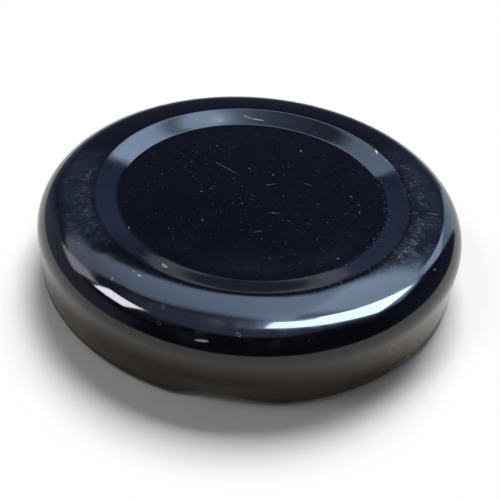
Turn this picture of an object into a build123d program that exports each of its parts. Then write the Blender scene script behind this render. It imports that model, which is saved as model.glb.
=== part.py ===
from build123d import *
from math import acos, asin, cos, degrees, radians, sin
import os

# Twist-off jar lid of the 53 mm size, in millimetres. It stands open side down on
# its rolled foot: the origin is the middle of the foot and +Z points out of the top.

# Whole lid
foot_radius = 27.9
height = 10.0
sheet = 0.2

# Top: a flat recessed panel, a sloped ring round it and a gently domed crown
panel_drop = 1.0
panel_bend_radius = 0.9
slope_angle = 17.8
crown_bend_radius = 0.9
crown_width = 7.25
crown_start_angle = 1.0
crown_arc_radius = 30.0
shoulder_radius = 3.8

# Skirt, and the bead that its lower edge is rolled into
skirt_flare = 0.8
neck_radius = 0.5
bead_step = 0.08
bead_radius = 0.75
bead_flat = 0.12
bead_edge_gap = 0.12

# Band at the foot in which the lugs are formed
band_above_bead = 1.9
lean_bend_radius = 3.0

# Lugs: the bead pressed inwards, upwards and flat at equal steps round the foot
lug_count = 4
first_lug_angle = -90.0
lug_steep_side = 10.0
lug_gentle_side = 17.8
lug_reach = 2.6
lug_lift = 1.07
lug_hem_radius = 0.3
lug_bend_radius = 0.45
lug_neck_angle = 4.0
lug_lean = 12.0
lug_sections_per_side = 6

# Sealing ring: compound that has flowed into the channel under the crown
seal_thickness = 0.85
seal_inner_offset = 0.5
seal_flank_angle = 50.0
seal_corner_radius = 0.6
seal_face_width = 3.4
seal_meniscus_radius = 1.2
seal_meniscus_angle = 25.0


def walk(start, heading, runs, inset=0.0):
    """Edges of the line that follows the runs, moved to its right by the inset.

    A run is (radius, turn) for an arc, or (length, None) for a straight line.
    Headings and turns are in degrees, and a turn to the right is negative."""
    x = start[0] + inset * sin(radians(heading))
    y = start[1] - inset * cos(radians(heading))
    edges = []
    for size, turn in runs:
        if turn is None:
            end = (x + size * cos(radians(heading)), y + size * sin(radians(heading)))
            edges.append(Edge.make_line((x, y), end))
            x, y = end
            continue
        side = 1 if turn > 0 else -1
        reach = side * size + inset
        middle = (x - reach * sin(radians(heading)), y + reach * cos(radians(heading)))
        points = []
        for share in (0.5, 1.0):
            angle = radians(heading + turn * share)
            points.append((middle[0] + reach * sin(angle), middle[1] - reach * cos(angle)))
        edges.append(Edge.make_three_point_arc((x, y), points[0], points[1]))
        x, y = points[1]
        heading += turn
    return edges


def sheet_section(start, heading, runs):
    """Closed section of a strip of sheet whose outside follows the runs."""
    outside = walk(start, heading, runs)
    inside = walk(start, heading, runs, sheet)
    upper_end = Edge.make_line(inside[0] @ 0, outside[0] @ 0)
    lower_end = Edge.make_line(outside[-1] @ 1, inside[-1] @ 1)
    return Face(Wire(outside + [lower_end] + inside + [upper_end]))


def radial_plane(angle):
    """Upright plane through the axis, with its X along the given angle."""
    along = (cos(radians(angle)), sin(radians(angle)), 0)
    across = (sin(radians(angle)), -cos(radians(angle)), 0)
    return Plane(origin=(0, 0, 0), x_dir=along, z_dir=across)


def band_start():
    """Point on the outside of the skirt where the foot's band begins."""
    radius = foot_radius - bead_step - lean_bend_radius * (1 - cos(radians(skirt_flare)))
    return (radius, 2 * bead_radius + band_above_bead)


def crown_rise():
    """Height of the crown's crest above the edge of the recess."""
    return crown_arc_radius * (1 - cos(radians(crown_start_angle)))


def crown_start():
    """Point at which the crown's arc begins, at the edge of the recess."""
    return (foot_radius - crown_width, height - crown_rise())


def top_runs():
    """Runs of the outside from the middle of the panel to the foot's band."""
    start_radius, start_height = crown_start()
    slope = radians(slope_angle)
    first = radians(crown_start_angle)
    panel_bend_rise = panel_bend_radius * (1 - cos(slope))
    crown_bend_rise = crown_bend_radius * (cos(first) - cos(slope))
    slope_rise = panel_drop - crown_rise() - panel_bend_rise - crown_bend_rise
    slope_length = slope_rise / sin(slope)
    panel_length = (
        start_radius
        - crown_bend_radius * (sin(slope) - sin(first))
        - slope_length * cos(slope)
        - panel_bend_radius * sin(slope)
    )
    apex_radius = start_radius + crown_arc_radius * sin(first)
    flare = radians(skirt_flare)
    end_radius, end_height = band_start()
    drop = height - end_height
    reach = end_radius - apex_radius - shoulder_radius * cos(flare)
    reach -= (drop - crown_arc_radius + shoulder_radius * sin(flare)) * sin(flare) / cos(flare)
    last = asin(cos(flare) * reach / (crown_arc_radius - shoulder_radius)) - flare
    skirt_drop = drop - crown_arc_radius * (1 - cos(last))
    skirt_drop -= shoulder_radius * (cos(last) - sin(flare))
    return [
        (panel_length, None),
        (panel_bend_radius, slope_angle),
        (slope_length, None),
        (crown_bend_radius, crown_start_angle - slope_angle),
        (crown_arc_radius, -crown_start_angle - degrees(last)),
        (shoulder_radius, degrees(last) + skirt_flare - 90),
        (skirt_drop / cos(flare), None),
    ]


def between(plain, pressed, share):
    """Value that goes from plain to pressed as the share goes from 0 to 1."""
    return plain + (pressed - plain) * share


def foot_runs(press):
    """Runs of the outside from the band's start to the edge of the sheet.

    The press is 0 for the plain rolled bead and 1 for the middle of a lug."""
    start_radius, start_height = band_start()
    plain_neck = acos(1 - bead_step / (neck_radius + bead_radius))
    plain_tip = foot_radius - 2 * bead_radius - bead_flat
    lean = radians(lug_lean * press)
    neck = between(plain_neck, radians(lug_neck_angle), press)
    bend = between(bead_radius, lug_bend_radius, press)
    hem = between(bead_radius, lug_hem_radius, press)
    tip = between(plain_tip, foot_radius - lug_reach, press)
    lift = lug_lift * press
    out = neck - lean
    flare = radians(skirt_flare)
    drop = start_height - lift - lean_bend_radius * (sin(lean) + sin(flare))
    drop -= neck_radius * (sin(lean) + sin(out)) + bend * (1 + sin(out))
    line = drop / cos(lean)
    neck_start = start_radius + lean_bend_radius * (cos(lean) - cos(flare)) - line * sin(lean)
    flat_start = neck_start + neck_radius * (cos(lean) - cos(out)) - bend * cos(out)
    edge = neck_start - sheet / cos(lean) - bead_edge_gap
    return [
        (lean_bend_radius, -skirt_flare - degrees(lean)),
        (line, None),
        (neck_radius, degrees(neck)),
        (bend, -90 - degrees(out)),
        (flat_start - tip - hem, None),
        (hem, -180.0),
        (edge - tip - hem, None),
    ]


def foot_section(press, angle):
    """Section of the foot at the given press, stood up at the given angle."""
    face = sheet_section(band_start(), skirt_flare - 90, foot_runs(press))
    return radial_plane(angle) * face


def lug_angle(index):
    return first_lug_angle + 360.0 / lug_count * index


def lug_press(offset):
    """Press at an angle from the lug's deepest point."""
    side = lug_steep_side if offset < 0 else lug_gentle_side
    share = min(abs(offset) / side, 1.0)
    return (1 + cos(radians(180 * share))) / 2


def lug(angle):
    """Stretch of the foot round one lug, lofted through its sections."""
    sections = []
    for step in range(-lug_sections_per_side, lug_sections_per_side + 1):
        side = lug_steep_side if step < 0 else lug_gentle_side
        offset = side * step / lug_sections_per_side
        sections.append(foot_section(lug_press(offset), angle + offset))
    return loft(sections)


def plain_foot(angle):
    """Stretch of plain rolled bead from one lug to the next."""
    first = angle + lug_gentle_side
    sweep = 360.0 / lug_count - lug_steep_side - lug_gentle_side
    return revolve(foot_section(0.0, first), Axis.Z, sweep)


def lid_top():
    """Panel, sloped ring, crown, shoulder and skirt down to the foot's band."""
    face = sheet_section((0, height - panel_drop), 0.0, top_runs())
    return revolve(radial_plane(0) * face, Axis.Z, 360)


def lid_shell():
    """Whole sheet-metal lid, one pressed and rolled piece."""
    angles = [lug_angle(index) for index in range(lug_count)]
    foot = [lug(angle) for angle in angles] + [plain_foot(angle) for angle in angles]
    return lid_top().fuse(*foot, tol=0.001)


def hollow_section():
    """Section of the room inside the lid, above the foot's band."""
    inside = walk((0, height - panel_drop), 0.0, top_runs(), sheet)
    corner = (0, (inside[-1] @ 1).Y)
    floor = Edge.make_line(inside[-1] @ 1, corner)
    axis = Edge.make_line(corner, inside[0] @ 0)
    return Face(Wire(inside + [floor, axis]))


def seal_blank():
    """Section of the compound before the sheet bounds it."""
    start = (crown_start()[0] + seal_inner_offset, height - sheet)
    flank = radians(seal_flank_angle)
    corner_drop = seal_corner_radius * (1 - cos(flank))
    lower_side = walk(
        start,
        -seal_flank_angle,
        [
            ((seal_thickness - corner_drop) / sin(flank), None),
            (seal_corner_radius, seal_flank_angle),
            (seal_face_width, None),
            (seal_meniscus_radius, -seal_meniscus_angle),
            (shoulder_radius, None),
        ],
    )
    end = lower_side[-1] @ 1
    corner = (end.X, height)
    outer = Edge.make_line(end, corner)
    upper = Edge.make_line(corner, (start[0], height))
    inner = Edge.make_line((start[0], height), start)
    return Face(Wire(lower_side + [outer, upper, inner]))


def sealing_ring():
    """Ring of compound, its upper side lying against the inside of the sheet."""
    face = (seal_blank() & hollow_section()).faces()[0]
    return revolve(radial_plane(0) * face, Axis.Z, 360)


os.makedirs("parts", exist_ok=True)
export_step(lid_shell(), "parts/lid_shell.step")
export_step(sealing_ring(), "parts/sealing_ring.step")
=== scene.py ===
from math import acos, asin, atan2, cos, degrees, hypot, pi, radians, sin, tan

import bmesh
import bpy
from mathutils import Matrix, Vector
from mathutils.kdtree import KDTree


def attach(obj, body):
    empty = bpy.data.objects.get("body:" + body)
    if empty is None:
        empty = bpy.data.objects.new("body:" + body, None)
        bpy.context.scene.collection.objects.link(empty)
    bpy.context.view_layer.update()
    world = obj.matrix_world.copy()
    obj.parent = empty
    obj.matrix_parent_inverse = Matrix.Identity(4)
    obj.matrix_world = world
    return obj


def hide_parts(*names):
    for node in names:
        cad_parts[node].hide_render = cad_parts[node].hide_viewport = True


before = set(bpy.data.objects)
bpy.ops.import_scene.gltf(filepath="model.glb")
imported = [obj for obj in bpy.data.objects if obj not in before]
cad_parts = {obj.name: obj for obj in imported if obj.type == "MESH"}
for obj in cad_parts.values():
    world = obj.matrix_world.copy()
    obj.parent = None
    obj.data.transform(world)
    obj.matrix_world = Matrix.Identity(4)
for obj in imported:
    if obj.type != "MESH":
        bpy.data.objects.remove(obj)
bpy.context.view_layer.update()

# Sizes of the lid
# Millimetres, as the solids have them. MM turns them into metres.
MM = 0.001
FOOT_RADIUS = 27.9
HEIGHT = 10.0
SHEET = 0.2

PANEL_DROP = 1.0
PANEL_BEND_RADIUS = 0.9
SLOPE_ANGLE = 17.8
CROWN_BEND_RADIUS = 0.9
CROWN_WIDTH = 7.25
CROWN_START_ANGLE = 1.0
CROWN_ARC_RADIUS = 30.0
SHOULDER_RADIUS = 3.8

SKIRT_FLARE = 0.8
NECK_RADIUS = 0.5
BEAD_STEP = 0.08
BEAD_RADIUS = 0.75
BEAD_FLAT = 0.12
BEAD_EDGE_GAP = 0.12
BAND_ABOVE_BEAD = 1.9
LEAN_BEND_RADIUS = 3.0

LUG_COUNT = 4
FIRST_LUG_ANGLE = -90.0
LUG_STEEP_SIDE = 10.0
LUG_GENTLE_SIDE = 17.8
LUG_REACH = 2.6
LUG_LIFT = 1.07
LUG_HEM_RADIUS = 0.3
LUG_BEND_RADIUS = 0.45
LUG_NECK_ANGLE = 4.0
LUG_LEAN = 12.0

SEAL_THICKNESS = 0.85
SEAL_INNER_OFFSET = 0.5
SEAL_FLANK_ANGLE = 50.0
SEAL_CORNER_RADIUS = 0.6
SEAL_FACE_WIDTH = 3.4
SEAL_MENISCUS_RADIUS = 1.2
SEAL_MENISCUS_ANGLE = 25.0

# How many steps the turned pieces have round the axis
SHELL_STEPS = 360
SEAL_STEPS = 180

# How many short lines each run of the sections is drawn with
TOP_DIVISIONS = (10, 4, 4, 4, 10, 26, 6)
FOOT_DIVISIONS = (4, 5, 6, 14, 1, 18, 2)
SEAL_DIVISIONS = (6, 8, 4, 6, 40)

# Edges that turn by more than this many degrees are shaded sharp
SHELL_SHARP_ANGLE = 40.0
SEAL_SHARP_ANGLE = 60.0

# Points of a turned piece that lie closer than this are joined, in metres
JOIN_DISTANCE = 1e-7

# The photograph sees the lug's deepest point this many degrees clockwise of the nearest side
VIEW_TURN = 6.2


# Section of the lid
def band_start():
    radius = FOOT_RADIUS - BEAD_STEP - LEAN_BEND_RADIUS * (1 - cos(radians(SKIRT_FLARE)))
    return (radius, 2 * BEAD_RADIUS + BAND_ABOVE_BEAD)


def crown_rise():
    return CROWN_ARC_RADIUS * (1 - cos(radians(CROWN_START_ANGLE)))


def crown_start():
    return (FOOT_RADIUS - CROWN_WIDTH, HEIGHT - crown_rise())


def top_runs():
    """Runs of the outside from the middle of the panel to the foot's band."""
    start_radius, start_height = crown_start()
    slope = radians(SLOPE_ANGLE)
    first = radians(CROWN_START_ANGLE)
    panel_bend_rise = PANEL_BEND_RADIUS * (1 - cos(slope))
    crown_bend_rise = CROWN_BEND_RADIUS * (cos(first) - cos(slope))
    slope_length = (PANEL_DROP - crown_rise() - panel_bend_rise - crown_bend_rise) / sin(slope)
    panel_length = (
        start_radius
        - CROWN_BEND_RADIUS * (sin(slope) - sin(first))
        - slope_length * cos(slope)
        - PANEL_BEND_RADIUS * sin(slope)
    )
    apex_radius = start_radius + CROWN_ARC_RADIUS * sin(first)
    flare = radians(SKIRT_FLARE)
    end_radius, end_height = band_start()
    drop = HEIGHT - end_height
    reach = end_radius - apex_radius - SHOULDER_RADIUS * cos(flare)
    reach -= (drop - CROWN_ARC_RADIUS + SHOULDER_RADIUS * sin(flare)) * tan(flare)
    last = asin(cos(flare) * reach / (CROWN_ARC_RADIUS - SHOULDER_RADIUS)) - flare
    skirt_drop = drop - CROWN_ARC_RADIUS * (1 - cos(last))
    skirt_drop -= SHOULDER_RADIUS * (cos(last) - sin(flare))
    return [
        (panel_length, None),
        (PANEL_BEND_RADIUS, SLOPE_ANGLE),
        (slope_length, None),
        (CROWN_BEND_RADIUS, CROWN_START_ANGLE - SLOPE_ANGLE),
        (CROWN_ARC_RADIUS, -CROWN_START_ANGLE - degrees(last)),
        (SHOULDER_RADIUS, degrees(last) + SKIRT_FLARE - 90),
        (skirt_drop / cos(flare), None),
    ]


def between(plain, pressed, share):
    return plain + (pressed - plain) * share


def foot_runs(press):
    """Runs of the outside from the band's start to the sheet's edge, 0 plain and 1 lug."""
    start_radius, start_height = band_start()
    plain_neck = acos(1 - BEAD_STEP / (NECK_RADIUS + BEAD_RADIUS))
    plain_tip = FOOT_RADIUS - 2 * BEAD_RADIUS - BEAD_FLAT
    lean = radians(LUG_LEAN * press)
    neck = between(plain_neck, radians(LUG_NECK_ANGLE), press)
    bend = between(BEAD_RADIUS, LUG_BEND_RADIUS, press)
    hem = between(BEAD_RADIUS, LUG_HEM_RADIUS, press)
    tip = between(plain_tip, FOOT_RADIUS - LUG_REACH, press)
    out = neck - lean
    flare = radians(SKIRT_FLARE)
    drop = start_height - LUG_LIFT * press - LEAN_BEND_RADIUS * (sin(lean) + sin(flare))
    drop -= NECK_RADIUS * (sin(lean) + sin(out)) + bend * (1 + sin(out))
    line = drop / cos(lean)
    neck_start = start_radius + LEAN_BEND_RADIUS * (cos(lean) - cos(flare)) - line * sin(lean)
    flat_start = neck_start + NECK_RADIUS * (cos(lean) - cos(out)) - bend * cos(out)
    edge = neck_start - SHEET / cos(lean) - BEAD_EDGE_GAP
    return [
        (LEAN_BEND_RADIUS, -SKIRT_FLARE - degrees(lean)),
        (line, None),
        (NECK_RADIUS, degrees(neck)),
        (bend, -90 - degrees(out)),
        (flat_start - tip - hem, None),
        (hem, -180.0),
        (edge - tip - hem, None),
    ]


def walk(start, heading, runs, divisions, inset=0.0):
    """Points along the runs, moved to the right by the inset, without the first."""
    x = start[0] + inset * sin(radians(heading))
    y = start[1] - inset * cos(radians(heading))
    points = []
    for (size, turn), parts in zip(runs, divisions):
        ahead = radians(heading)
        if turn is None:
            for part in range(1, parts + 1):
                length = size * part / parts
                points.append((x + length * cos(ahead), y + length * sin(ahead)))
        else:
            side = 1 if turn > 0 else -1
            reach = side * size + inset
            middle = (x - reach * sin(ahead), y + reach * cos(ahead))
            for part in range(1, parts + 1):
                angle = radians(heading + turn * part / parts)
                points.append((middle[0] + reach * sin(angle), middle[1] - reach * cos(angle)))
            heading += turn
        x, y = points[-1]
    return points


def shell_line(press):
    """Points of the section, out along the outside and back along the inside."""
    lines = []
    for inset in (0.0, SHEET):
        top = [(0.0, HEIGHT - PANEL_DROP - inset)]
        top += walk((0.0, HEIGHT - PANEL_DROP), 0.0, top_runs(), TOP_DIVISIONS, inset)
        foot = walk(band_start(), SKIRT_FLARE - 90, foot_runs(press), FOOT_DIVISIONS, inset)
        lines.append(top + foot)
    outside, inside = lines
    return outside + inside[::-1]


def lug_press(angle):
    """How far the foot is pressed into a lug at an angle round the axis."""
    step = 360.0 / LUG_COUNT
    offset = (angle - FIRST_LUG_ANGLE + step / 2) % step - step / 2
    side = LUG_STEEP_SIDE if offset < 0 else LUG_GENTLE_SIDE
    share = min(abs(offset) / side, 1.0)
    return (1 + cos(radians(180 * share))) / 2


# Meshes
def spun(line, steps, closed):
    """A bmesh turned from a line of (radius, height) points in millimetres."""
    bm = bmesh.new()
    verts = [bm.verts.new((radius * MM, 0.0, height * MM)) for radius, height in line]
    edges = [bm.edges.new(pair) for pair in zip(verts, verts[1:])]
    if closed:
        edges.append(bm.edges.new((verts[-1], verts[0])))
    bmesh.ops.spin(
        bm,
        geom=verts + edges,
        cent=(0, 0, 0),
        axis=(0, 0, 1),
        angle=2 * pi,
        steps=steps,
        use_merge=True,
        use_duplicate=False,
    )
    bmesh.ops.remove_doubles(bm, verts=bm.verts, dist=JOIN_DISTANCE)
    bmesh.ops.recalc_face_normals(bm, faces=bm.faces)
    return bm


def finished(bm, name, materials, node, sharp):
    """Turns a bmesh into a smooth-shaded piece that stands for a node."""
    mesh = bpy.data.meshes.new(name)
    bm.to_mesh(mesh)
    bm.free()
    mesh.polygons.foreach_set("use_smooth", [True] * len(mesh.polygons))
    mesh.set_sharp_from_angle(angle=radians(sharp))
    for material in materials:
        mesh.materials.append(material)
    piece = bpy.data.objects.new(name, mesh)
    bpy.context.scene.collection.objects.link(piece)
    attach(piece, "root")
    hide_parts(node)


def make_shell(outside_finish, inside_finish):
    """The plain lid is turned, and its foot is then pressed into the lugs."""
    line = shell_line(0.0)
    finder = KDTree(len(line))
    for index, (radius, height) in enumerate(line):
        finder.insert((radius, 0.0, height), index)
    finder.balance()
    half = len(line) // 2
    foot = range(half - sum(FOOT_DIVISIONS), half + sum(FOOT_DIVISIONS))
    bm = spun(line, SHELL_STEPS, closed=False)
    pressed = {}
    place = {}
    for vert in bm.verts:
        radius = hypot(vert.co.x, vert.co.y) / MM
        index = finder.find((radius, 0.0, vert.co.z / MM))[1]
        place[vert] = index
        angle = round(degrees(atan2(vert.co.y, vert.co.x)), 3)
        press = lug_press(angle)
        if index not in foot or press == 0:
            continue
        if angle not in pressed:
            pressed[angle] = shell_line(press)
        new_radius, new_height = pressed[angle][index]
        vert.co.x *= new_radius / radius
        vert.co.y *= new_radius / radius
        vert.co.z = new_height * MM
    for face in bm.faces:
        face.material_index = 1 if max(place[vert] for vert in face.verts) >= half else 0
    finishes = [outside_finish, inside_finish]
    slot, node = "lacquered_tinplate", "lid_shell"
    finished(bm, "pressed_lid", finishes, node, SHELL_SHARP_ANGLE)


def make_seal(finish):
    """The ring's lower side is walked, and the sheet's inside bounds it above."""
    inside = walk((0.0, HEIGHT - PANEL_DROP), 0.0, top_runs(), TOP_DIVISIONS, SHEET)
    start = (crown_start()[0] + SEAL_INNER_OFFSET, HEIGHT - SHEET)
    flank = radians(SEAL_FLANK_ANGLE)
    corner_drop = SEAL_CORNER_RADIUS * (1 - cos(flank))
    runs = [
        ((SEAL_THICKNESS - corner_drop) / sin(flank), None),
        (SEAL_CORNER_RADIUS, SEAL_FLANK_ANGLE),
        (SEAL_FACE_WIDTH, None),
        (SEAL_MENISCUS_RADIUS, -SEAL_MENISCUS_ANGLE),
        (SHOULDER_RADIUS, None),
    ]
    lower = [start] + walk(start, -SEAL_FLANK_ANGLE, runs, SEAL_DIVISIONS)

    def sheet_height(radius):
        for (r0, z0), (r1, z1) in zip(inside, inside[1:]):
            if r0 <= radius <= r1:
                return z0 + (z1 - z0) * (radius - r0) / max(r1 - r0, 1e-9)
        return 0.0

    kept = [point for point in lower if point[1] < sheet_height(point[0])]
    inner, outer = kept[0][0], kept[-1][0]
    upper = [(outer, sheet_height(outer))]
    upper += [point for point in reversed(inside) if inner < point[0] < outer]
    upper.append((inner, sheet_height(inner)))
    bm = spun(kept + upper, SEAL_STEPS, closed=True)
    slot, node = "sealing_compound", "sealing_ring"
    finished(bm, "sealing_compound_ring", [finish], node, SEAL_SHARP_ANGLE)


# Nodes that the finishes and the room are made with
def joined(tree, operation, *values):
    """A Math node over values, which are numbers or other nodes' outputs."""
    node = tree.nodes.new("ShaderNodeMath")
    node.operation = operation
    for index, value in enumerate(values):
        if isinstance(value, (int, float)):
            node.inputs[index].default_value = value
        else:
            tree.links.new(value, node.inputs[index])
    return node.outputs[0]


def product(tree, *values):
    total = values[0]
    for value in values[1:]:
        total = joined(tree, "MULTIPLY", total, value)
    return total


def largest(tree, values):
    total = values[0]
    for value in values[1:]:
        total = joined(tree, "MAXIMUM", total, value)
    return total


def scaled(tree, value, factor, added):
    return joined(tree, "MULTIPLY_ADD", value, factor, added)


def inverse(tree, value):
    return joined(tree, "SUBTRACT", 1.0, value)


def eased(tree, value, start, end):
    """0 before the start, 1 after the end, and smooth between."""
    node = tree.nodes.new("ShaderNodeMapRange")
    node.interpolation_type = "SMOOTHSTEP"
    tree.links.new(value, node.inputs["Value"])
    node.inputs["From Min"].default_value = start
    node.inputs["From Max"].default_value = end
    return node.outputs["Result"]


def graded(tree, value, start, end, first, second):
    """Goes straight from the first value to the second between the start and the end."""
    node = tree.nodes.new("ShaderNodeMapRange")
    tree.links.new(value, node.inputs["Value"])
    limits = {"From Min": start, "From Max": end, "To Min": first, "To Max": second}
    for name, number in limits.items():
        node.inputs[name].default_value = number
    return node.outputs["Result"]


def mixed(tree, factor, first, second, blend="MIX"):
    """A Mix node of two colours, which are tuples or other nodes' outputs."""
    node = tree.nodes.new("ShaderNodeMix")
    node.data_type = "RGBA"
    node.blend_type = blend
    for name, value in (("Factor", factor), ("A", first), ("B", second)):
        if isinstance(value, tuple):
            node.inputs[name].default_value = (*value, 1)
        elif isinstance(value, float):
            node.inputs[name].default_value = value
        else:
            tree.links.new(value, node.inputs[name])
    return node.outputs["Result"]


def vectored(tree, operation, *values):
    """A Vector Math node over values, which are tuples or other nodes' outputs."""
    node = tree.nodes.new("ShaderNodeVectorMath")
    node.operation = operation
    for index, value in enumerate(values):
        if isinstance(value, tuple):
            node.inputs[index].default_value = value
        else:
            tree.links.new(value, node.inputs[index])
    output = "Value" if operation in ("LENGTH", "DOT_PRODUCT") else "Vector"
    return node.outputs[output]


def split(tree, vector):
    node = tree.nodes.new("ShaderNodeSeparateXYZ")
    tree.links.new(vector, node.inputs["Vector"])
    return node.outputs


def combined(tree, *parts):
    node = tree.nodes.new("ShaderNodeCombineXYZ")
    for index, part in enumerate(parts):
        if isinstance(part, (int, float)):
            node.inputs[index].default_value = part
        else:
            tree.links.new(part, node.inputs[index])
    return node.outputs["Vector"]


def noise(tree, vector, scale, detail, roughness=0.5):
    node = tree.nodes.new("ShaderNodeTexNoise")
    tree.links.new(vector, node.inputs["Vector"])
    node.inputs["Scale"].default_value = scale
    node.inputs["Detail"].default_value = detail
    node.inputs["Roughness"].default_value = roughness
    return node.outputs["Fac"]


def cells(tree, vector):
    """A flat Voronoi pattern with cells one unit wide."""
    node = tree.nodes.new("ShaderNodeTexVoronoi")
    node.voronoi_dimensions = "2D"
    tree.links.new(vector, node.inputs["Vector"])
    node.inputs["Scale"].default_value = 1.0
    node.inputs["Randomness"].default_value = 1.0
    return node


def turned(tree, vector, angle):
    node = tree.nodes.new("ShaderNodeVectorRotate")
    node.rotation_type = "Z_AXIS"
    tree.links.new(vector, node.inputs["Vector"])
    if isinstance(angle, float):
        node.inputs["Angle"].default_value = angle
    else:
        tree.links.new(angle, node.inputs["Angle"])
    return node.outputs["Vector"]


def new_group(name, inputs, outputs):
    """A shader node group, with its inputs' usual values and its outputs' kinds."""
    group = bpy.data.node_groups.new(name, "ShaderNodeTree")
    for label, value in inputs:
        kind = "NodeSocketVector" if isinstance(value, tuple) else "NodeSocketFloat"
        socket = group.interface.new_socket(label, in_out="INPUT", socket_type=kind)
        socket.default_value = value
    for label, kind in outputs:
        group.interface.new_socket(label, in_out="OUTPUT", socket_type=kind)
    start = group.nodes.new("NodeGroupInput")
    end = group.nodes.new("NodeGroupOutput")
    return group, start.outputs, end.inputs


def placed(tree, group, **values):
    """One use of a group, its inputs given as values or as other nodes' outputs."""
    node = tree.nodes.new("ShaderNodeGroup")
    node.node_tree = group
    for label, value in values.items():
        if isinstance(value, (int, float, tuple)):
            node.inputs[label].default_value = value
        else:
            tree.links.new(value, node.inputs[label])
    return node.outputs


def pattern(tree, group, **values):
    """The mask that one use of a group puts out."""
    return placed(tree, group, **values)["Mask"]


# Kinds of the groups' sockets, and a vector's usual value
ORIGIN = (0.0, 0.0, 0.0)
NUMBER = "NodeSocketFloat"
VECTOR = "NodeSocketVector"
MASK_ONLY = [("Mask", NUMBER)]


def lid_places():
    """Where a point of the lid is, in millimetres, seen from above and along the sheet.

    Whole is x, y and z, and Flat is x and y. Round is the direction from the axis, drawn
    out to the foot's radius, and the distance along the sheet, so that a pattern on it
    closes up round the lid. Unrolled is the arc round the skirt and that distance."""
    vectors = ("Whole", "Flat", "Unrolled", "Round", "Outward")
    outputs = [(label, VECTOR) for label in vectors] + [("Radius", NUMBER), ("Height", NUMBER)]
    group, start, end = new_group("lid_places", [("Vector", ORIGIN)], outputs)
    whole = vectored(group, "MULTIPLY", start["Vector"], (1 / MM, 1 / MM, 1 / MM))
    flat = vectored(group, "MULTIPLY", whole, (1.0, 1.0, 0.0))
    height = split(group, whole)["Z"]
    radius = vectored(group, "LENGTH", flat)
    outward = vectored(group, "NORMALIZE", flat)
    along = joined(group, "ADD", radius, joined(group, "SUBTRACT", HEIGHT, height))
    rim = vectored(group, "MULTIPLY", outward, (FOOT_RADIUS, FOOT_RADIUS, 0.0))
    sides = split(group, flat)
    arc = product(group, joined(group, "ARCTAN2", sides["Y"], sides["X"]), FOOT_RADIUS)
    places = {
        "Whole": whole,
        "Flat": flat,
        "Unrolled": combined(group, arc, along, 0.0),
        "Round": vectored(group, "ADD", rim, combined(group, 0.0, 0.0, along)),
        "Outward": outward,
        "Radius": radius,
        "Height": height,
    }
    for label, value in places.items():
        group.links.new(value, end[label])
    return group


def short_scratches():
    """Short straight scratches, each lying its own way in a cell of its own."""
    inputs = [("Vector", ORIGIN), ("Cell", 1.0), ("Length", 0.4), ("Width", 0.03), ("Share", 0.5)]
    group, start, end = new_group("short_scratches", inputs, MASK_ONLY)
    spread = vectored(group, "DIVIDE", start["Vector"], start["Cell"])
    field = cells(group, spread)
    chance = split(group, field.outputs["Color"])
    local = vectored(group, "SUBTRACT", spread, field.outputs["Position"])
    lying = split(group, turned(group, local, product(group, chance["X"], pi)))
    longest = product(group, start["Length"], scaled(group, chance["Y"], 0.8, 0.2))
    reach = joined(group, "DIVIDE", joined(group, "ABSOLUTE", lying["X"]), longest)
    breadth = joined(group, "DIVIDE", joined(group, "ABSOLUTE", lying["Y"]), start["Width"])
    line = inverse(group, eased(group, joined(group, "MAXIMUM", reach, breadth), 0.4, 1.0))
    there = joined(group, "LESS_THAN", chance["Z"], start["Share"])
    depth = scaled(group, chance["Y"], -0.6, 1.0)
    group.links.new(product(group, line, there, depth), end["Mask"])
    return group


def dust_specks():
    """Round specks of unlike sizes."""
    inputs = [("Vector", ORIGIN), ("Cell", 1.0), ("Size", 0.2), ("Share", 0.5)]
    group, start, end = new_group("dust_specks", inputs, MASK_ONLY)
    field = cells(group, vectored(group, "DIVIDE", start["Vector"], start["Cell"]))
    chance = split(group, field.outputs["Color"])
    size = product(group, start["Size"], scaled(group, chance["X"], 0.75, 0.25))
    spot = joined(group, "DIVIDE", field.outputs["Distance"], size)
    there = joined(group, "LESS_THAN", chance["Y"], start["Share"])
    dot = inverse(group, eased(group, spot, 0.3, 1.0))
    group.links.new(product(group, dot, there), end["Mask"])
    return group


def patches():
    """Cloudy patches: 0 where the noise is under the first limit, 1 over the second."""
    inputs = [("Vector", ORIGIN), ("Scale", 1.0), ("Low", 0.4), ("High", 0.6)]
    group, start, end = new_group("patches", inputs, MASK_ONLY)
    field = group.nodes.new("ShaderNodeTexNoise")
    field.inputs["Detail"].default_value = 3.0
    field.inputs["Roughness"].default_value = 0.6
    group.links.new(start["Vector"], field.inputs["Vector"])
    group.links.new(start["Scale"], field.inputs["Scale"])
    limits = group.nodes.new("ShaderNodeMapRange")
    limits.interpolation_type = "SMOOTHSTEP"
    group.links.new(field.outputs["Fac"], limits.inputs["Value"])
    group.links.new(start["Low"], limits.inputs["From Min"])
    group.links.new(start["High"], limits.inputs["From Max"])
    group.links.new(limits.outputs["Result"], end["Mask"])
    return group


def single_mark():
    """One chip or scratch with a ragged edge, a ring where it is hollow."""
    inputs = [
        ("Vector", ORIGIN),
        ("Place", ORIGIN),
        ("Turn", 0.0),
        ("Size", (1.0, 1.0, 1.0)),
        ("Ragged", 0.5),
        ("Hollow", 0.0),
    ]
    group, start, end = new_group("single_mark", inputs, MASK_ONLY)
    local = vectored(group, "SUBTRACT", start["Vector"], start["Place"])
    lying = turned(group, local, start["Turn"])
    distance = vectored(group, "LENGTH", vectored(group, "DIVIDE", lying, start["Size"]))
    uneven = joined(group, "SUBTRACT", start["Ragged"], 0.5)
    rough = scaled(group, uneven, 0.9, distance)
    body = inverse(group, eased(group, rough, 0.75, 1.1))
    core = inverse(group, eased(group, distance, 0.35, 0.75))
    hole = product(group, core, start["Hollow"])
    left = joined(group, "SUBTRACT", body, hole)
    group.links.new(joined(group, "MAXIMUM", left, 0.0), end["Mask"])
    return group


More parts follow.
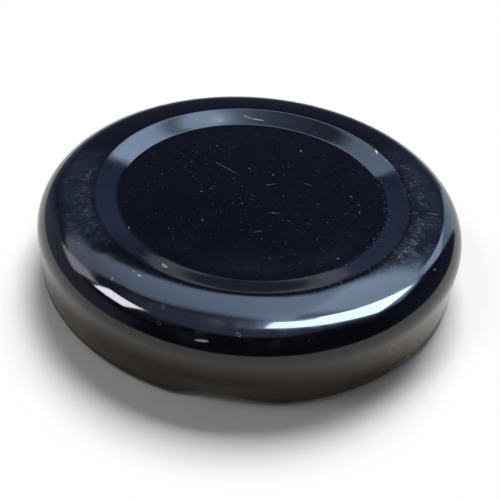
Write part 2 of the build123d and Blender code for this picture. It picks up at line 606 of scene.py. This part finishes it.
# Marks that the photograph shows on the lacquer. Each goes from one end to the other, as
# (radius, azimuth) in millimetres and degrees, azimuths as the camera has them. Then come
# its width, how pale it is, and how hollow, up to a ring.
MARKS = (
    ((8.68, 131.3), (4.34, 121.7), 0.09, 0.15, 0.0),
    ((18.45, 87.5), (18.6, 93.0), 0.2, 0.3, 0.0),
    ((18.6, 93.0), (19.2, 97.0), 0.16, 0.25, 0.0),
    ((20.15, 31.0), (20.45, 32.8), 0.3, 0.6, 0.0),
    ((18.9, 240.1), (19.1, 241.6), 0.5, 0.3, 0.4),
    ((22.3, 238.2), (22.3, 239.1), 0.3, 0.3, 0.0),
    ((22.2, 236.0), (22.2, 236.6), 0.24, 0.14, 0.0),
    ((24.3, 233.5), (24.5, 233.9), 0.3, 0.16, 0.6),
    ((24.6, 250.0), (24.8, 250.4), 0.4, 0.05, 0.9),
    ((26.35, 250.6), (26.45, 251.2), 0.3, 0.045, 0.9),
    ((25.87, 269.0), (26.03, 269.6), 0.36, 0.11, 0.9),
    ((26.85, 260.0), (26.78, 262.8), 0.2, 0.42, 0.0),
    ((12.6, 59.2), (12.8, 59.6), 0.26, 0.2, 0.0),
    ((11.85, 118.0), (12.05, 118.0), 0.18, 0.14, 0.0),
    ((2.32, 43.5), (3.53, 35.3), 0.12, 0.13, 0.0),
    ((4.8, 55.5), (5.1, 60.5), 0.12, 0.12, 0.0),
    ((5.2, 97.0), (5.5, 98.5), 0.16, 0.12, 0.0),
    ((6.9, 188.6), (6.6, 188.0), 0.15, 0.12, 0.0),
    ((5.7, 182.5), (5.4, 180.5), 0.12, 0.12, 0.0),
    ((3.1, 243.0), (3.3, 250.0), 0.14, 0.1, 0.0),
    ((4.95, 294.6), (5.79, 309.9), 0.1, 0.09, 0.0),
    ((7.3, 22.5), (8.24, 15.5), 0.12, 0.07, 0.0),
    ((12.9, 2.4), (13.2, 0.6), 0.2, 0.1, 0.0),
    ((13.8, 354.6), (14.1, 354.0), 0.13, 0.14, 0.0),
    ((14.1, 348.6), (14.3, 347.0), 0.13, 0.14, 0.0),
    ((16.3, 310.2), (16.45, 310.6), 0.15, 0.18, 0.0),
    ((8.81, 271.5), (8.4, 281.2), 0.12, 0.06, 0.0),
    ((9.1, 228.6), (9.35, 231.0), 0.3, 0.04, 0.0),
    ((17.5, 213.4), (17.55, 214.0), 0.14, 0.28, 0.0),
    ((13.38, 223.1), (13.47, 223.3), 0.13, 0.15, 0.0),
    ((25.55, 214.5), (25.65, 214.7), 0.18, 0.25, 0.0),
    ((24.1, 216.1), (24.1, 216.5), 0.15, 0.15, 0.0),
    ((20.3, 24.6), (20.35, 25.4), 0.15, 0.3, 0.0),
    ((20.69, 349.9), (21.5, 350.5), 0.1, 0.14, 0.0),
    ((22.4, 351.4), (24.0, 351.8), 0.1, 0.16, 0.0),
    ((25.6, 327.5), (25.7, 328.1), 0.16, 0.2, 0.0),
)

# Stretches round the axis: the azimuth of their middle as the camera has it, and how far
# from it they begin and end to fade, in degrees
CROWN_SCUFFS = ((193.0, 14.0, 32.0), (352.0, 22.0, 46.0))
# The next line: stretches where a reflection of the bluish room is painted on the recess's sides
SLOPE_SKY_REFLECTION = ((188.0, 14.0, 48.0), (340.0, 24.0, 48.0))
# The next line: stretches where a reflection of a brown surface is painted on the skirt, in
# upright streaks
SKIRT_REFLECTION_STREAKS = ((207.0, 12.0, 32.0), (328.0, 10.0, 34.0))
MILKY_STRETCH = (266.0, 14.0, 34.0)
DUSTY_STRETCH = (350.0, 20.0, 75.0)
HAND_AZIMUTH = 305.0

# Rings round the axis: the radii at which they begin and end, and how soft their edges
# are, in millimetres
SLOPE_RING = (17.75, 20.3, 0.25)
SLOPE_FOOT_RING = (17.2, 18.2, 0.25)
SLOPE_HEAD_RING = (20.1, 20.9, 0.25)
CROWN_RING = (20.7, 24.6, 0.9)
INNER_CROWN_RING = (20.7, 22.6, 0.8)
SHOULDER_RING = (24.6, 27.1, 0.5)
JAR_RIM_RING = (23.2, 24.6, 0.2)

# Where the panel ends, by radius, and where the skirt ends and the top begins, by height,
# each over two values between which it fades, in millimetres
PANEL_END = (16.6, 17.8)
SKIRT_END = (5.2, 7.8)
TOP_START = (7.6, 8.6)

# How far two of the scratch patterns are moved, so that none repeats another's places
FLECK_SHIFT = (31.3, 17.7, 0.0)
HAIR_SHIFT = (57.1, 83.9, 0.0)

# Colours of the black lacquer, of the wear on it, and of the reflections painted on it
DEEP_BLACK = (0.0010, 0.0010, 0.0014)
SOFT_BLACK = (0.0018, 0.0017, 0.0022)
# Blue of the reflection of the room that is painted on the recess's sides and the scuffed crown
PAINTED_SKY_BLUE = (0.32, 0.48, 1.0)
WORN_PALE = (0.78, 0.87, 1.0)
# Brown of the reflection of a surface under the lid that is painted on the skirt
PAINTED_SURFACE_BROWN = (0.85, 0.58, 0.3)


def axis_point(radius, azimuth):
    turn = radians(azimuth + VIEW_TURN)
    return (radius * cos(turn), radius * sin(turn), 0.0)


def ring_zone(tree, radius, inner, outer, soft):
    rising = eased(tree, radius, inner - soft, inner + soft)
    falling = eased(tree, radius, outer - soft, outer + soft)
    return joined(tree, "SUBTRACT", rising, falling)


def stretch_zone(tree, outward, azimuth, full, none):
    """1 within the full angle of an azimuth, and 0 beyond the other."""
    nearness = vectored(tree, "DOT_PRODUCT", outward, axis_point(1.0, azimuth))
    return eased(tree, nearness, cos(radians(none)), cos(radians(full)))


def stretch_zones(tree, outward, stretches):
    return largest(tree, [stretch_zone(tree, outward, *stretch) for stretch in stretches])


def tinted(tree, colour, layers):
    """The colour under layers, each of them a mask, its strength and a tint."""
    for mask, strength, tint in layers:
        colour = mixed(tree, product(tree, mask, strength), colour, tint)
    return colour


def new_material(name):
    material = bpy.data.materials.new(name)
    material.use_nodes = True
    nodes = material.node_tree.nodes
    nodes.clear()
    output = nodes.new("ShaderNodeOutputMaterial")
    shader = nodes.new("ShaderNodeBsdfPrincipled")
    material.node_tree.links.new(shader.outputs["BSDF"], output.inputs["Surface"])
    return material, shader


def object_place(tree):
    """Object coordinates, through a Mapping node that leaves them as they are."""
    texture = tree.nodes.new("ShaderNodeTexCoord")
    mapping = tree.nodes.new("ShaderNodeMapping")
    tree.links.new(texture.outputs["Object"], mapping.inputs["Vector"])
    return mapping.outputs["Vector"]


def raised(tree, shader, height):
    """Bump from a height in millimetres."""
    bump = tree.nodes.new("ShaderNodeBump")
    bump.inputs["Distance"].default_value = MM
    tree.links.new(height, bump.inputs["Height"])
    tree.links.new(bump.outputs["Normal"], shader.inputs["Normal"])


def mark_mask(tree, group, flat, ragged, mark):
    """Mask of one named mark, times how pale it is."""
    first, second, width, pale, hollow = mark
    x0, y0, _ = axis_point(*first)
    x1, y1, _ = axis_point(*second)
    half_length = hypot(x1 - x0, y1 - y0) / 2 + width / 2
    spot = pattern(
        tree,
        group,
        Vector=flat,
        Place=((x0 + x1) / 2, (y0 + y1) / 2, 0.0),
        Turn=-atan2(y1 - y0, x1 - x0),
        Size=(half_length, width / 2, 1.0),
        Ragged=ragged,
        Hollow=hollow,
    )
    return product(tree, spot, pale)


def black_lacquer(groups):
    """Gloss black over tinplate, with scratches, dust, scuffs and chips."""
    material, shader = new_material("black_gloss_lacquer")
    tree = material.node_tree
    place = placed(tree, groups["lid_places"], Vector=object_place(tree))
    whole, flat, rounded, outward = place["Whole"], place["Flat"], place["Round"], place["Outward"]
    radius, height = place["Radius"], place["Height"]
    clouds, specks, scratches = groups["patches"], groups["dust_specks"], groups["short_scratches"]

    on_top = eased(tree, height, *TOP_START)
    grain = noise(tree, rounded, 6.0, 2.0, 0.7)
    ragged = noise(tree, flat, 5.0, 3.0, 0.7)
    speckled = eased(tree, grain, 0.48, 0.72)

    # Handling haze on the panel, thicker on the near side and to the right
    toward_hand = vectored(tree, "DOT_PRODUCT", flat, axis_point(1.0, HAND_AZIMUTH))
    panel = inverse(tree, eased(tree, radius, *PANEL_END))
    cloudy = pattern(tree, clouds, Vector=flat, Scale=0.16, Low=0.38, High=0.66)
    wiped = pattern(tree, clouds, Vector=flat, Scale=1.1, Low=0.42, High=0.7)
    near_side = eased(tree, toward_hand, -9.0, 15.0)
    haze = product(tree, panel, near_side, scaled(tree, cloudy, 0.7, 0.3))
    haze = product(tree, haze, scaled(tree, wiped, 0.8, 0.2))

    # Milky blotches on the near shoulder
    blotches = pattern(tree, clouds, Vector=rounded, Scale=0.33, Low=0.46, High=0.72)
    near_shoulder = product(
        tree,
        ring_zone(tree, radius, *SHOULDER_RING),
        stretch_zone(tree, outward, *MILKY_STRETCH),
    )
    milk = product(tree, blotches, near_shoulder)

    # Scuffed crown to the left and right, with short lines that run outwards
    lines = noise(tree, vectored(tree, "MULTIPLY", rounded, (1.0, 1.0, 0.3)), 3.4, 3.0, 0.7)
    radial = eased(tree, lines, 0.5, 0.72)
    rubbed = pattern(tree, clouds, Vector=rounded, Scale=1.6, Low=0.46, High=0.64)
    worn = pattern(tree, clouds, Vector=rounded, Scale=0.4, Low=0.36, High=0.58)
    scuff_sides = stretch_zones(tree, outward, CROWN_SCUFFS)
    crown = ring_zone(tree, radius, *CROWN_RING)
    inner_crown = ring_zone(tree, radius, *INNER_CROWN_RING)
    scuffed = product(tree, scuff_sides, crown, worn)
    scuff = joined(
        tree,
        "ADD",
        product(tree, scuffed, inner_crown, rubbed, speckled),
        product(tree, scuffed, radial, 0.3),
    )

    # Fine scratches and dust all over, thicker on the panel and along the recess
    busy = pattern(tree, clouds, Vector=flat, Scale=0.1, Low=0.36, High=0.6)
    fine = pattern(tree, scratches, Vector=flat, Cell=1.5, Length=0.3, Width=0.04, Share=0.5)
    moved = vectored(tree, "ADD", flat, FLECK_SHIFT)
    flecks = pattern(tree, scratches, Vector=moved, Cell=2.6, Length=0.17, Width=0.03, Share=0.45)
    moved = vectored(tree, "ADD", flat, HAIR_SHIFT)
    hairs = pattern(tree, scratches, Vector=moved, Cell=9.0, Length=0.42, Width=0.006, Share=0.35)
    dust = pattern(tree, specks, Vector=flat, Cell=1.1, Size=0.13, Share=0.3)
    recess_edges = joined(
        tree,
        "ADD",
        ring_zone(tree, radius, *SLOPE_FOOT_RING),
        ring_zone(tree, radius, *SLOPE_HEAD_RING),
    )
    edge_side = stretch_zone(tree, outward, *DUSTY_STRETCH)
    edge_dust = product(
        tree,
        pattern(tree, specks, Vector=flat, Cell=0.62, Size=0.24, Share=0.5),
        recess_edges,
        scaled(tree, edge_side, 0.85, 0.15),
    )
    side_dust = pattern(tree, specks, Vector=place["Unrolled"], Cell=2.4, Size=0.06, Share=0.35)
    middle = inverse(tree, eased(tree, radius, 11.0, 19.0))
    crowd = scaled(tree, product(tree, busy, middle), 0.85, 0.15)

    mark = groups["single_mark"]
    marks = largest(tree, [mark_mask(tree, mark, flat, ragged, row) for row in MARKS])

    pale = joined(tree, "ADD", product(tree, haze, 0.003), product(tree, milk, 0.012))
    for mask, strength in (
        (product(tree, fine, crowd, on_top), 0.055),
        (product(tree, flecks, crowd, on_top), 0.11),
        (product(tree, hairs, on_top), 0.02),
        (product(tree, dust, on_top), 0.03),
        (product(tree, edge_dust, on_top), 0.12),
        (product(tree, side_dust, inverse(tree, on_top)), 0.06),
        (scuff, 0.1),
        (product(tree, speckled, crown), 0.005),
        (scuffed, 0.004),
        (marks, 1.0),
    ):
        pale = joined(tree, "ADD", pale, product(tree, mask, strength))
    pale = joined(tree, "MINIMUM", pale, 0.8)
    depth = noise(tree, whole, 0.12, 2.0)
    lacquer = mixed(tree, depth, DEEP_BLACK, SOFT_BLACK)

    # Painted reflection of the bluish room on the sides of the recess and on the scuffed crown, a
    # blue tint in the base colour
    slope = ring_zone(tree, radius, *SLOPE_RING)
    painted_sky_reflection = product(tree, slope, stretch_zones(tree, outward, SLOPE_SKY_REFLECTION), 0.03)
    painted_sky_reflection = scaled(tree, product(tree, scuff_sides, crown), 0.018, painted_sky_reflection)
    mottled = scaled(tree, noise(tree, whole, 1.5, 3.0, 0.7), 0.7, 0.6)
    colour = mixed(tree, product(tree, painted_sky_reflection, mottled), lacquer, PAINTED_SKY_BLUE)
    colour = mixed(tree, pale, colour, WORN_PALE)

    # Painted reflection of a brown surface under the lid: a brown tint over the skirt, stronger in
    # upright streaks at the sides
    skirt = inverse(tree, eased(tree, height, *SKIRT_END))
    streak_noise = noise(tree, vectored(tree, "MULTIPLY", rounded, (1.0, 1.0, 0.2)), 0.32, 3.0, 0.6)
    reflection_streaks = eased(tree, streak_noise, 0.42, 0.72)
    reflection_streaks = product(tree, reflection_streaks, stretch_zones(tree, outward, SKIRT_REFLECTION_STREAKS))
    painted_brown_reflection = product(tree, scaled(tree, reflection_streaks, 0.1, 0.032), skirt)
    colour = mixed(tree, painted_brown_reflection, colour, PAINTED_SURFACE_BROWN)
    tree.links.new(colour, shader.inputs["Base Color"])

    roughness = scaled(tree, noise(tree, whole, 0.5, 3.0), 0.045, 0.045)
    for mask, strength in ((milk, 0.1), (scuff, 0.3), (marks, 0.5), (scuffed, 0.05)):
        roughness = joined(tree, "ADD", roughness, product(tree, mask, strength))
    tree.links.new(joined(tree, "MINIMUM", roughness, 0.6), shader.inputs["Roughness"])
    shader.inputs["IOR"].default_value = 1.5

    # Waves of the pressed sheet, strongest on the skirt, and the lacquer's own fine peel
    upright = vectored(tree, "MULTIPLY", rounded, (1.0, 1.0, 0.16))
    waves = product(tree, noise(tree, upright, 0.16, 2.0, 0.4), skirt)
    off_panel = eased(tree, radius, 20.0, 23.0)
    shoulder_waves = product(tree, noise(tree, rounded, 0.22, 1.0), off_panel)
    relief = product(tree, waves, 0.1)
    for height_map, rise in (
        (shoulder_waves, 0.015),
        (noise(tree, whole, 0.9, 1.0), 0.002),
        (marks, -0.006),
    ):
        relief = scaled(tree, height_map, rise, relief)
    raised(tree, shader, relief)
    return material


def gold_lacquer(groups):
    """Thin gold lacquer inside, with the sheet's rolled grain showing through."""
    material, shader = new_material("gold_inside_lacquer")
    tree = material.node_tree
    place = placed(tree, groups["lid_places"], Vector=object_place(tree))
    flat, whole = place["Flat"], place["Whole"]
    rolled = noise(tree, vectored(tree, "MULTIPLY", flat, (0.05, 1.0, 1.0)), 5.0, 3.0, 0.6)
    uneven = pattern(tree, groups["patches"], Vector=whole, Scale=0.07, Low=0.3, High=0.7)
    spots = pattern(tree, groups["dust_specks"], Vector=flat, Cell=3.2, Size=0.07, Share=0.4)
    scratches = groups["short_scratches"]
    rubs = pattern(tree, scratches, Vector=flat, Cell=5.0, Length=0.35, Width=0.012, Share=0.6)
    colour = mixed(tree, uneven, (0.66, 0.47, 0.2), (0.8, 0.62, 0.32))
    layers = (
        (rolled, 0.35, (0.5, 0.34, 0.13)),
        (spots, 0.6, (0.2, 0.13, 0.06)),
        (rubs, 0.5, (0.8, 0.78, 0.72)),
    )
    tree.links.new(tinted(tree, colour, layers), shader.inputs["Base Color"])
    shader.inputs["Metallic"].default_value = 1.0
    roughness = scaled(tree, rolled, 0.16, 0.18)
    roughness = scaled(tree, rubs, 0.15, roughness)
    tree.links.new(roughness, shader.inputs["Roughness"])
    relief = product(tree, rolled, 0.0015)
    relief = scaled(tree, noise(tree, whole, 0.3, 1.0), 0.006, relief)
    raised(tree, shader, relief)
    return material


def compound(groups):
    """Off-white sealing compound, matt, with flow lines, small pores and a jar's trace."""
    material, shader = new_material("sealing_compound")
    tree = material.node_tree
    place = placed(tree, groups["lid_places"], Vector=object_place(tree))
    flat, rounded = place["Flat"], place["Round"]
    mottle = pattern(tree, groups["patches"], Vector=rounded, Scale=0.4, Low=0.35, High=0.7)
    flow = noise(tree, vectored(tree, "MULTIPLY", rounded, (0.05, 0.05, 1.0)), 3.0, 2.0)
    pores = pattern(tree, groups["dust_specks"], Vector=flat, Cell=0.9, Size=0.14, Share=0.35)
    pressed = ring_zone(tree, place["Radius"], *JAR_RIM_RING)
    colour = mixed(tree, mottle, (0.7, 0.67, 0.58), (0.79, 0.77, 0.7))
    layers = (
        (flow, 0.25, (0.62, 0.58, 0.48)),
        (pressed, 0.3, (0.6, 0.58, 0.52)),
        (pores, 0.5, (0.4, 0.36, 0.28)),
    )
    tree.links.new(tinted(tree, colour, layers), shader.inputs["Base Color"])
    roughness = scaled(tree, mottle, 0.12, 0.48)
    roughness = scaled(tree, pressed, -0.12, roughness)
    tree.links.new(roughness, shader.inputs["Roughness"])
    relief = product(tree, flow, 0.012)
    for height_map, rise in ((mottle, 0.01), (pores, -0.03), (pressed, -0.05)):
        relief = scaled(tree, height_map, rise, relief)
    raised(tree, shader, relief)
    return material


# Studio
# The lamps stand this far off in metres, so the light is even over the whole floor. Those
# for gloss only hang a little farther, so that no two lie in one place. Each is placed by
# the direction it is seen in from the lid: azimuth and elevation in degrees, azimuths as
# the photograph's camera has them (0 right, 90 straight behind the lid).
LAMP_DISTANCE = 30.0
GLINT_FARTHER = 1.02
WHITE = (1.0, 1.0, 1.0)
FLOOR_RADIUS = 4.0
FLOOR_COLOUR = (0.93, 0.93, 0.93, 1)
FLOOR_ROUGHNESS = 0.9

# The overhead window's left and right sides and its front and back, as shares of its
# height above the lid, and the corner of the piece that it lacks at the back left
WINDOW_ACROSS = (0.09, 0.81)
WINDOW_ALONG = (0.08, 0.6)
WINDOW_NOTCH = (0.21, 0.5)
WINDOW_LEVEL = 23.0
WINDOW_COLOUR = (0.7, 0.885, 1.0)
WINDOW_GLOW_WIDTH = 0.045
WINDOW_GLOW_LEVEL = 4.0
WINDOW_GLOW_TINT = (0.72, 0.98, 1.4)

LEFT_WINDOW = {"azimuth": 183.5, "elevation": 50, "width": 15.5, "height": 17, "lean": 24}
LEFT_GLINT_COLOUR = (0.92, 0.89, 1.0)


def direction(azimuth, elevation):
    turn = radians(azimuth + VIEW_TURN)
    lift = radians(elevation)
    return Vector((cos(lift) * cos(turn), cos(lift) * sin(turn), sin(lift)))


def hang(name, centre, axes, size, level, colour, lights):
    """One rectangular lamp, which the camera never sees.

    Its level is the brightness of its surface. What it lights is "gloss", "matt" or "all":
    mirrored in glossy surfaces only, shining on matt ones only, or both."""
    lamp = bpy.data.lights.new(name, "AREA")
    lamp.shape = "RECTANGLE"
    lamp.size, lamp.size_y = size
    lamp.energy = level * pi * lamp.size * lamp.size_y
    lamp.color = colour
    box = bpy.data.objects.new(name, lamp)
    box.matrix_world = Matrix.Translation(centre) @ Matrix(axes).transposed().to_4x4()
    box.visible_camera = False
    box.visible_diffuse = lights != "gloss"
    box.visible_transmission = lights != "gloss"
    box.visible_glossy = lights != "matt"
    bpy.context.scene.collection.objects.link(box)


def softbox(name, azimuth, elevation, width, height, level, colour, lights, lean=0.0):
    """A lamp square to the lid, its width and height in degrees as seen from there."""
    toward = direction(azimuth, elevation)
    across = Vector((0, 0, 1)).cross(toward).normalized()
    upward = toward.cross(across)
    leaning = Matrix.Rotation(radians(lean), 3, toward)
    axes = (leaning @ across, leaning @ upward, toward)
    away = LAMP_DISTANCE * (GLINT_FARTHER if lights == "gloss" else 1.0)
    size = [2 * away * tan(radians(span / 2)) for span in (width, height)]
    hang(name, toward * away, axes, size, level, colour, lights)


def window_card(name, x_span, y_span):
    """A level piece of the overhead window. Its spans are shares of its height."""
    facing = Matrix.Rotation(radians(VIEW_TURN), 3, "Z")
    rise = LAMP_DISTANCE * GLINT_FARTHER
    middle = Vector((sum(x_span) / 2, sum(y_span) / 2, 1.0)) * rise
    axes = [facing @ Vector(axis) for axis in ((1, 0, 0), (0, 1, 0), (0, 0, 1))]
    size = [(span[1] - span[0]) * rise for span in (x_span, y_span)]
    hang(name, facing @ middle, axes, size, WINDOW_LEVEL, WINDOW_COLOUR, "gloss")


def make_lights():
    left, right = WINDOW_ACROSS
    front, back = WINDOW_ALONG
    notch_left, notch_front = WINDOW_NOTCH
    softbox("key", 80, 51, 30, 24, level=16.5, colour=WHITE, lights="matt")
    window_card("window_front", (left, right), (front, notch_front))
    window_card("window_back", (notch_left, right), (notch_front, back))
    softbox("left_window", level=5.0, colour=WHITE, lights="all", **LEFT_WINDOW)
    softbox(
        "left_window_glint", level=13.0, colour=LEFT_GLINT_COLOUR, lights="gloss", **LEFT_WINDOW
    )


# What the room shows besides its windows, each patch between two azimuths: where its
# lower and upper edges are at the first and the second of them, how soft its sides, its
# lower edge and its upper edge are, and the colours of its light there. All angles are in
# degrees.
ROOM_PATCHES = {
    "front_wall": (
        (222, 345), (3, 3), (63, 63), (20, 4, 8), (0.04, 0.045, 0.08), (0.04, 0.045, 0.08)
    ),
    "left_wall": (
        (135, 215), (-5, -5), (34, 30), (20, 5, 8), (0.3, 0.33, 0.47), (0.22, 0.24, 0.35)
    ),
    "band_right": (
        (10, 80), (44, 41), (54, 54), (6, 3, 5), (1.3, 1.8, 2.6), (3.3, 4.4, 6.2)
    ),
    "band_middle": (
        (78, 117), (43.2, 43.0), (58, 54), (3, 1.5, 5), (2.3, 3.1, 4.6), (1.2, 1.55, 2.2)
    ),
    "band_left": (
        (115, 152), (41, 36), (53, 49), (4, 3, 5), (1.15, 1.35, 1.85), (1.3, 1.4, 1.9)
    ),
    "band_end": (
        (150, 171), (32, 29), (48, 46), (7, 6, 5), (2.9, 2.85, 3.4), (3.7, 3.6, 4.1)
    ),
    "low_shelf": (
        (55, 125), (9.8, 9.8), (13.6, 13.6), (20, 1.2, 1.2), (0.5, 0.53, 0.62), (0.5, 0.53, 0.62)
    ),
    "door_foot": (
        (42, 57), (2, 2), (32, 32), (3, 4, 3), (1.0, 1.36, 1.87), (1.0, 1.36, 1.87)
    ),
    "door_head": (
        (42, 57), (31, 31), (42, 42), (3, 3, 3), (2.65, 3.6, 5.2), (2.65, 3.6, 5.2)
    ),
}

# What lies behind the patches, by elevation in degrees: pale where the floor ends, dark
# walls over it and a bluish ceiling
ROOM_STOPS = (
    (0.0, (1.0, 1.0, 1.0)),
    (1.5, (1.0, 1.0, 1.0)),
    (5.0, (0.08, 0.1, 0.18)),
    (22.0, (0.07, 0.09, 0.17)),
    (40.0, (0.05, 0.065, 0.13)),
    (56.0, (0.16, 0.18, 0.27)),
    (66.0, (0.42, 0.5, 0.82)),
    (90.0, (0.44, 0.53, 0.86)),
)


def room_patch(tree, bearing, height, behind, sides, lows, highs, softness, first, second):
    """The room so far with one more patch of light in front of it."""
    left, right = sides
    side, under, over = softness
    across = joined(
        tree,
        "SUBTRACT",
        eased(tree, bearing, left - side / 2, left + side / 2),
        eased(tree, bearing, right - side / 2, right + side / 2),
    )
    above_low = joined(tree, "SUBTRACT", height, graded(tree, bearing, left, right, *lows))
    above_high = joined(tree, "SUBTRACT", height, graded(tree, bearing, left, right, *highs))
    upright = joined(
        tree,
        "SUBTRACT",
        eased(tree, above_low, -under / 2, under / 2),
        eased(tree, above_high, -over / 2, over / 2),
    )
    light = mixed(tree, graded(tree, bearing, left, right, 0.0, 1.0), first, second)
    return mixed(tree, product(tree, across, upright), behind, light)


def window_glow(tree, bearing, height):
    """Fades with the distance from the overhead window's edges, 1 on the edge itself."""
    turn = joined(tree, "RADIANS", bearing)
    spread = joined(tree, "TANGENT", joined(tree, "RADIANS", joined(tree, "MAXIMUM", height, 5.0)))
    outside = []
    for operation, (near, far) in (("COSINE", WINDOW_ACROSS), ("SINE", WINDOW_ALONG)):
        place = joined(tree, "DIVIDE", joined(tree, operation, turn), spread)
        before = joined(tree, "SUBTRACT", near, place)
        beyond = joined(tree, "SUBTRACT", place, far)
        outside.append(largest(tree, [before, beyond, 0.0]))
    squares = [product(tree, gap, gap) for gap in outside]
    distance = joined(tree, "SQRT", joined(tree, "ADD", *squares))
    return joined(tree, "EXPONENT", joined(tree, "DIVIDE", distance, -WINDOW_GLOW_WIDTH))


# What the room adds to the light on a matt surface, the same from every side
ROOM_FILL = (0.12, 0.12, 0.12)


def make_world():
    """The room as gloss shows it, and a plain grey where its light falls on matt surfaces.

    It isn't sampled as a lamp, since the ray's kind would then be that of the ray before."""
    world = bpy.data.worlds.new("room")
    bpy.context.scene.world = world
    world.use_nodes = True
    world.cycles.sampling_method = "NONE"
    tree = world.node_tree
    nodes, links = tree.nodes, tree.links
    nodes.clear()
    output = nodes.new("ShaderNodeOutputWorld")
    back = nodes.new("ShaderNodeBackground")
    place = nodes.new("ShaderNodeTexCoord")
    axes = nodes.new("ShaderNodeSeparateXYZ")
    ramp = nodes.new("ShaderNodeValToRGB")
    links.new(place.outputs["Generated"], axes.inputs["Vector"])
    links.new(axes.outputs["Z"], ramp.inputs["Fac"])
    elements = ramp.color_ramp.elements
    while len(elements) < len(ROOM_STOPS):
        elements.new(0.5)
    for element, (elevation, colour) in zip(elements, ROOM_STOPS):
        element.position = sin(radians(elevation))
        element.color = (*colour, 1)
    bearing = joined(tree, "ARCTAN2", axes.outputs["Y"], axes.outputs["X"])
    bearing = joined(tree, "SUBTRACT", joined(tree, "DEGREES", bearing), VIEW_TURN)
    bearing = joined(tree, "FLOORED_MODULO", bearing, 360.0)
    height = joined(tree, "DEGREES", joined(tree, "ARCSINE", axes.outputs["Z"]))
    room = ramp.outputs["Color"]
    for patch in ROOM_PATCHES.values():
        room = room_patch(tree, bearing, height, room, *patch)
    glow = window_glow(tree, bearing, height)
    glow_colour = tuple(part * WINDOW_GLOW_LEVEL for part in WINDOW_GLOW_TINT)
    room = mixed(tree, glow, room, glow_colour, "ADD")
    ray = nodes.new("ShaderNodeLightPath")
    light = mixed(tree, ray.outputs["Is Diffuse Ray"], room, ROOM_FILL)
    links.new(light, back.inputs["Color"])
    links.new(back.outputs["Background"], output.inputs["Surface"])


def make_floor():
    bm = bmesh.new()
    bmesh.ops.create_circle(bm, cap_ends=True, segments=96, radius=FLOOR_RADIUS)
    mesh = bpy.data.meshes.new("floor")
    bm.to_mesh(mesh)
    bm.free()
    material, shader = new_material("pale_floor")
    shader.inputs["Base Color"].default_value = FLOOR_COLOUR
    shader.inputs["Roughness"].default_value = FLOOR_ROUGHNESS
    shader.inputs["Specular IOR Level"].default_value = 0.0
    mesh.materials.append(material)
    floor = bpy.data.objects.new("floor", mesh)
    bpy.context.scene.collection.objects.link(floor)


# The photograph's camera, fitted to the lid's outline and to the panel's edges. Its place
# is in foot radii, its angles are in degrees, and its focal length is in pixels.
CAMERA_PLACE = (0.00736, -2.58490, 2.13117)
CAMERA_ELEVATION = 40.07
CAMERA_ROLL = 4.342
FOCAL_LENGTH = 664.04
PHOTO_WIDTH = 500
SENSOR_WIDTH = 36.0


def make_camera():
    elevation = radians(CAMERA_ELEVATION)
    roll = radians(CAMERA_ROLL)
    eye = Vector(CAMERA_PLACE) * FOOT_RADIUS * MM
    backward = Vector((0, -cos(elevation), sin(elevation)))
    level = Vector((1, 0, 0))
    upward = backward.cross(level)
    right = cos(roll) * level + sin(roll) * upward
    above = -sin(roll) * level + cos(roll) * upward
    facing = Matrix.Rotation(radians(VIEW_TURN), 4, "Z")
    pose = Matrix.Translation(eye) @ Matrix((right, above, backward)).transposed().to_4x4()
    data = bpy.data.cameras.new("camera")
    data.sensor_width = SENSOR_WIDTH
    data.lens = FOCAL_LENGTH / PHOTO_WIDTH * SENSOR_WIDTH
    data.clip_start = 0.002
    data.clip_end = 50.0
    camera = bpy.data.objects.new("camera", data)
    camera.matrix_world = facing @ pose
    bpy.context.scene.collection.objects.link(camera)
    bpy.context.scene.camera = camera


bpy.context.scene.view_settings.view_transform = "Standard"
make_camera()
builders = (lid_places, short_scratches, dust_specks, patches, single_mark)
effects = {build.__name__: build() for build in builders}
make_shell(black_lacquer(effects), gold_lacquer(effects))
make_seal(compound(effects))
make_lights()
make_world()
make_floor()
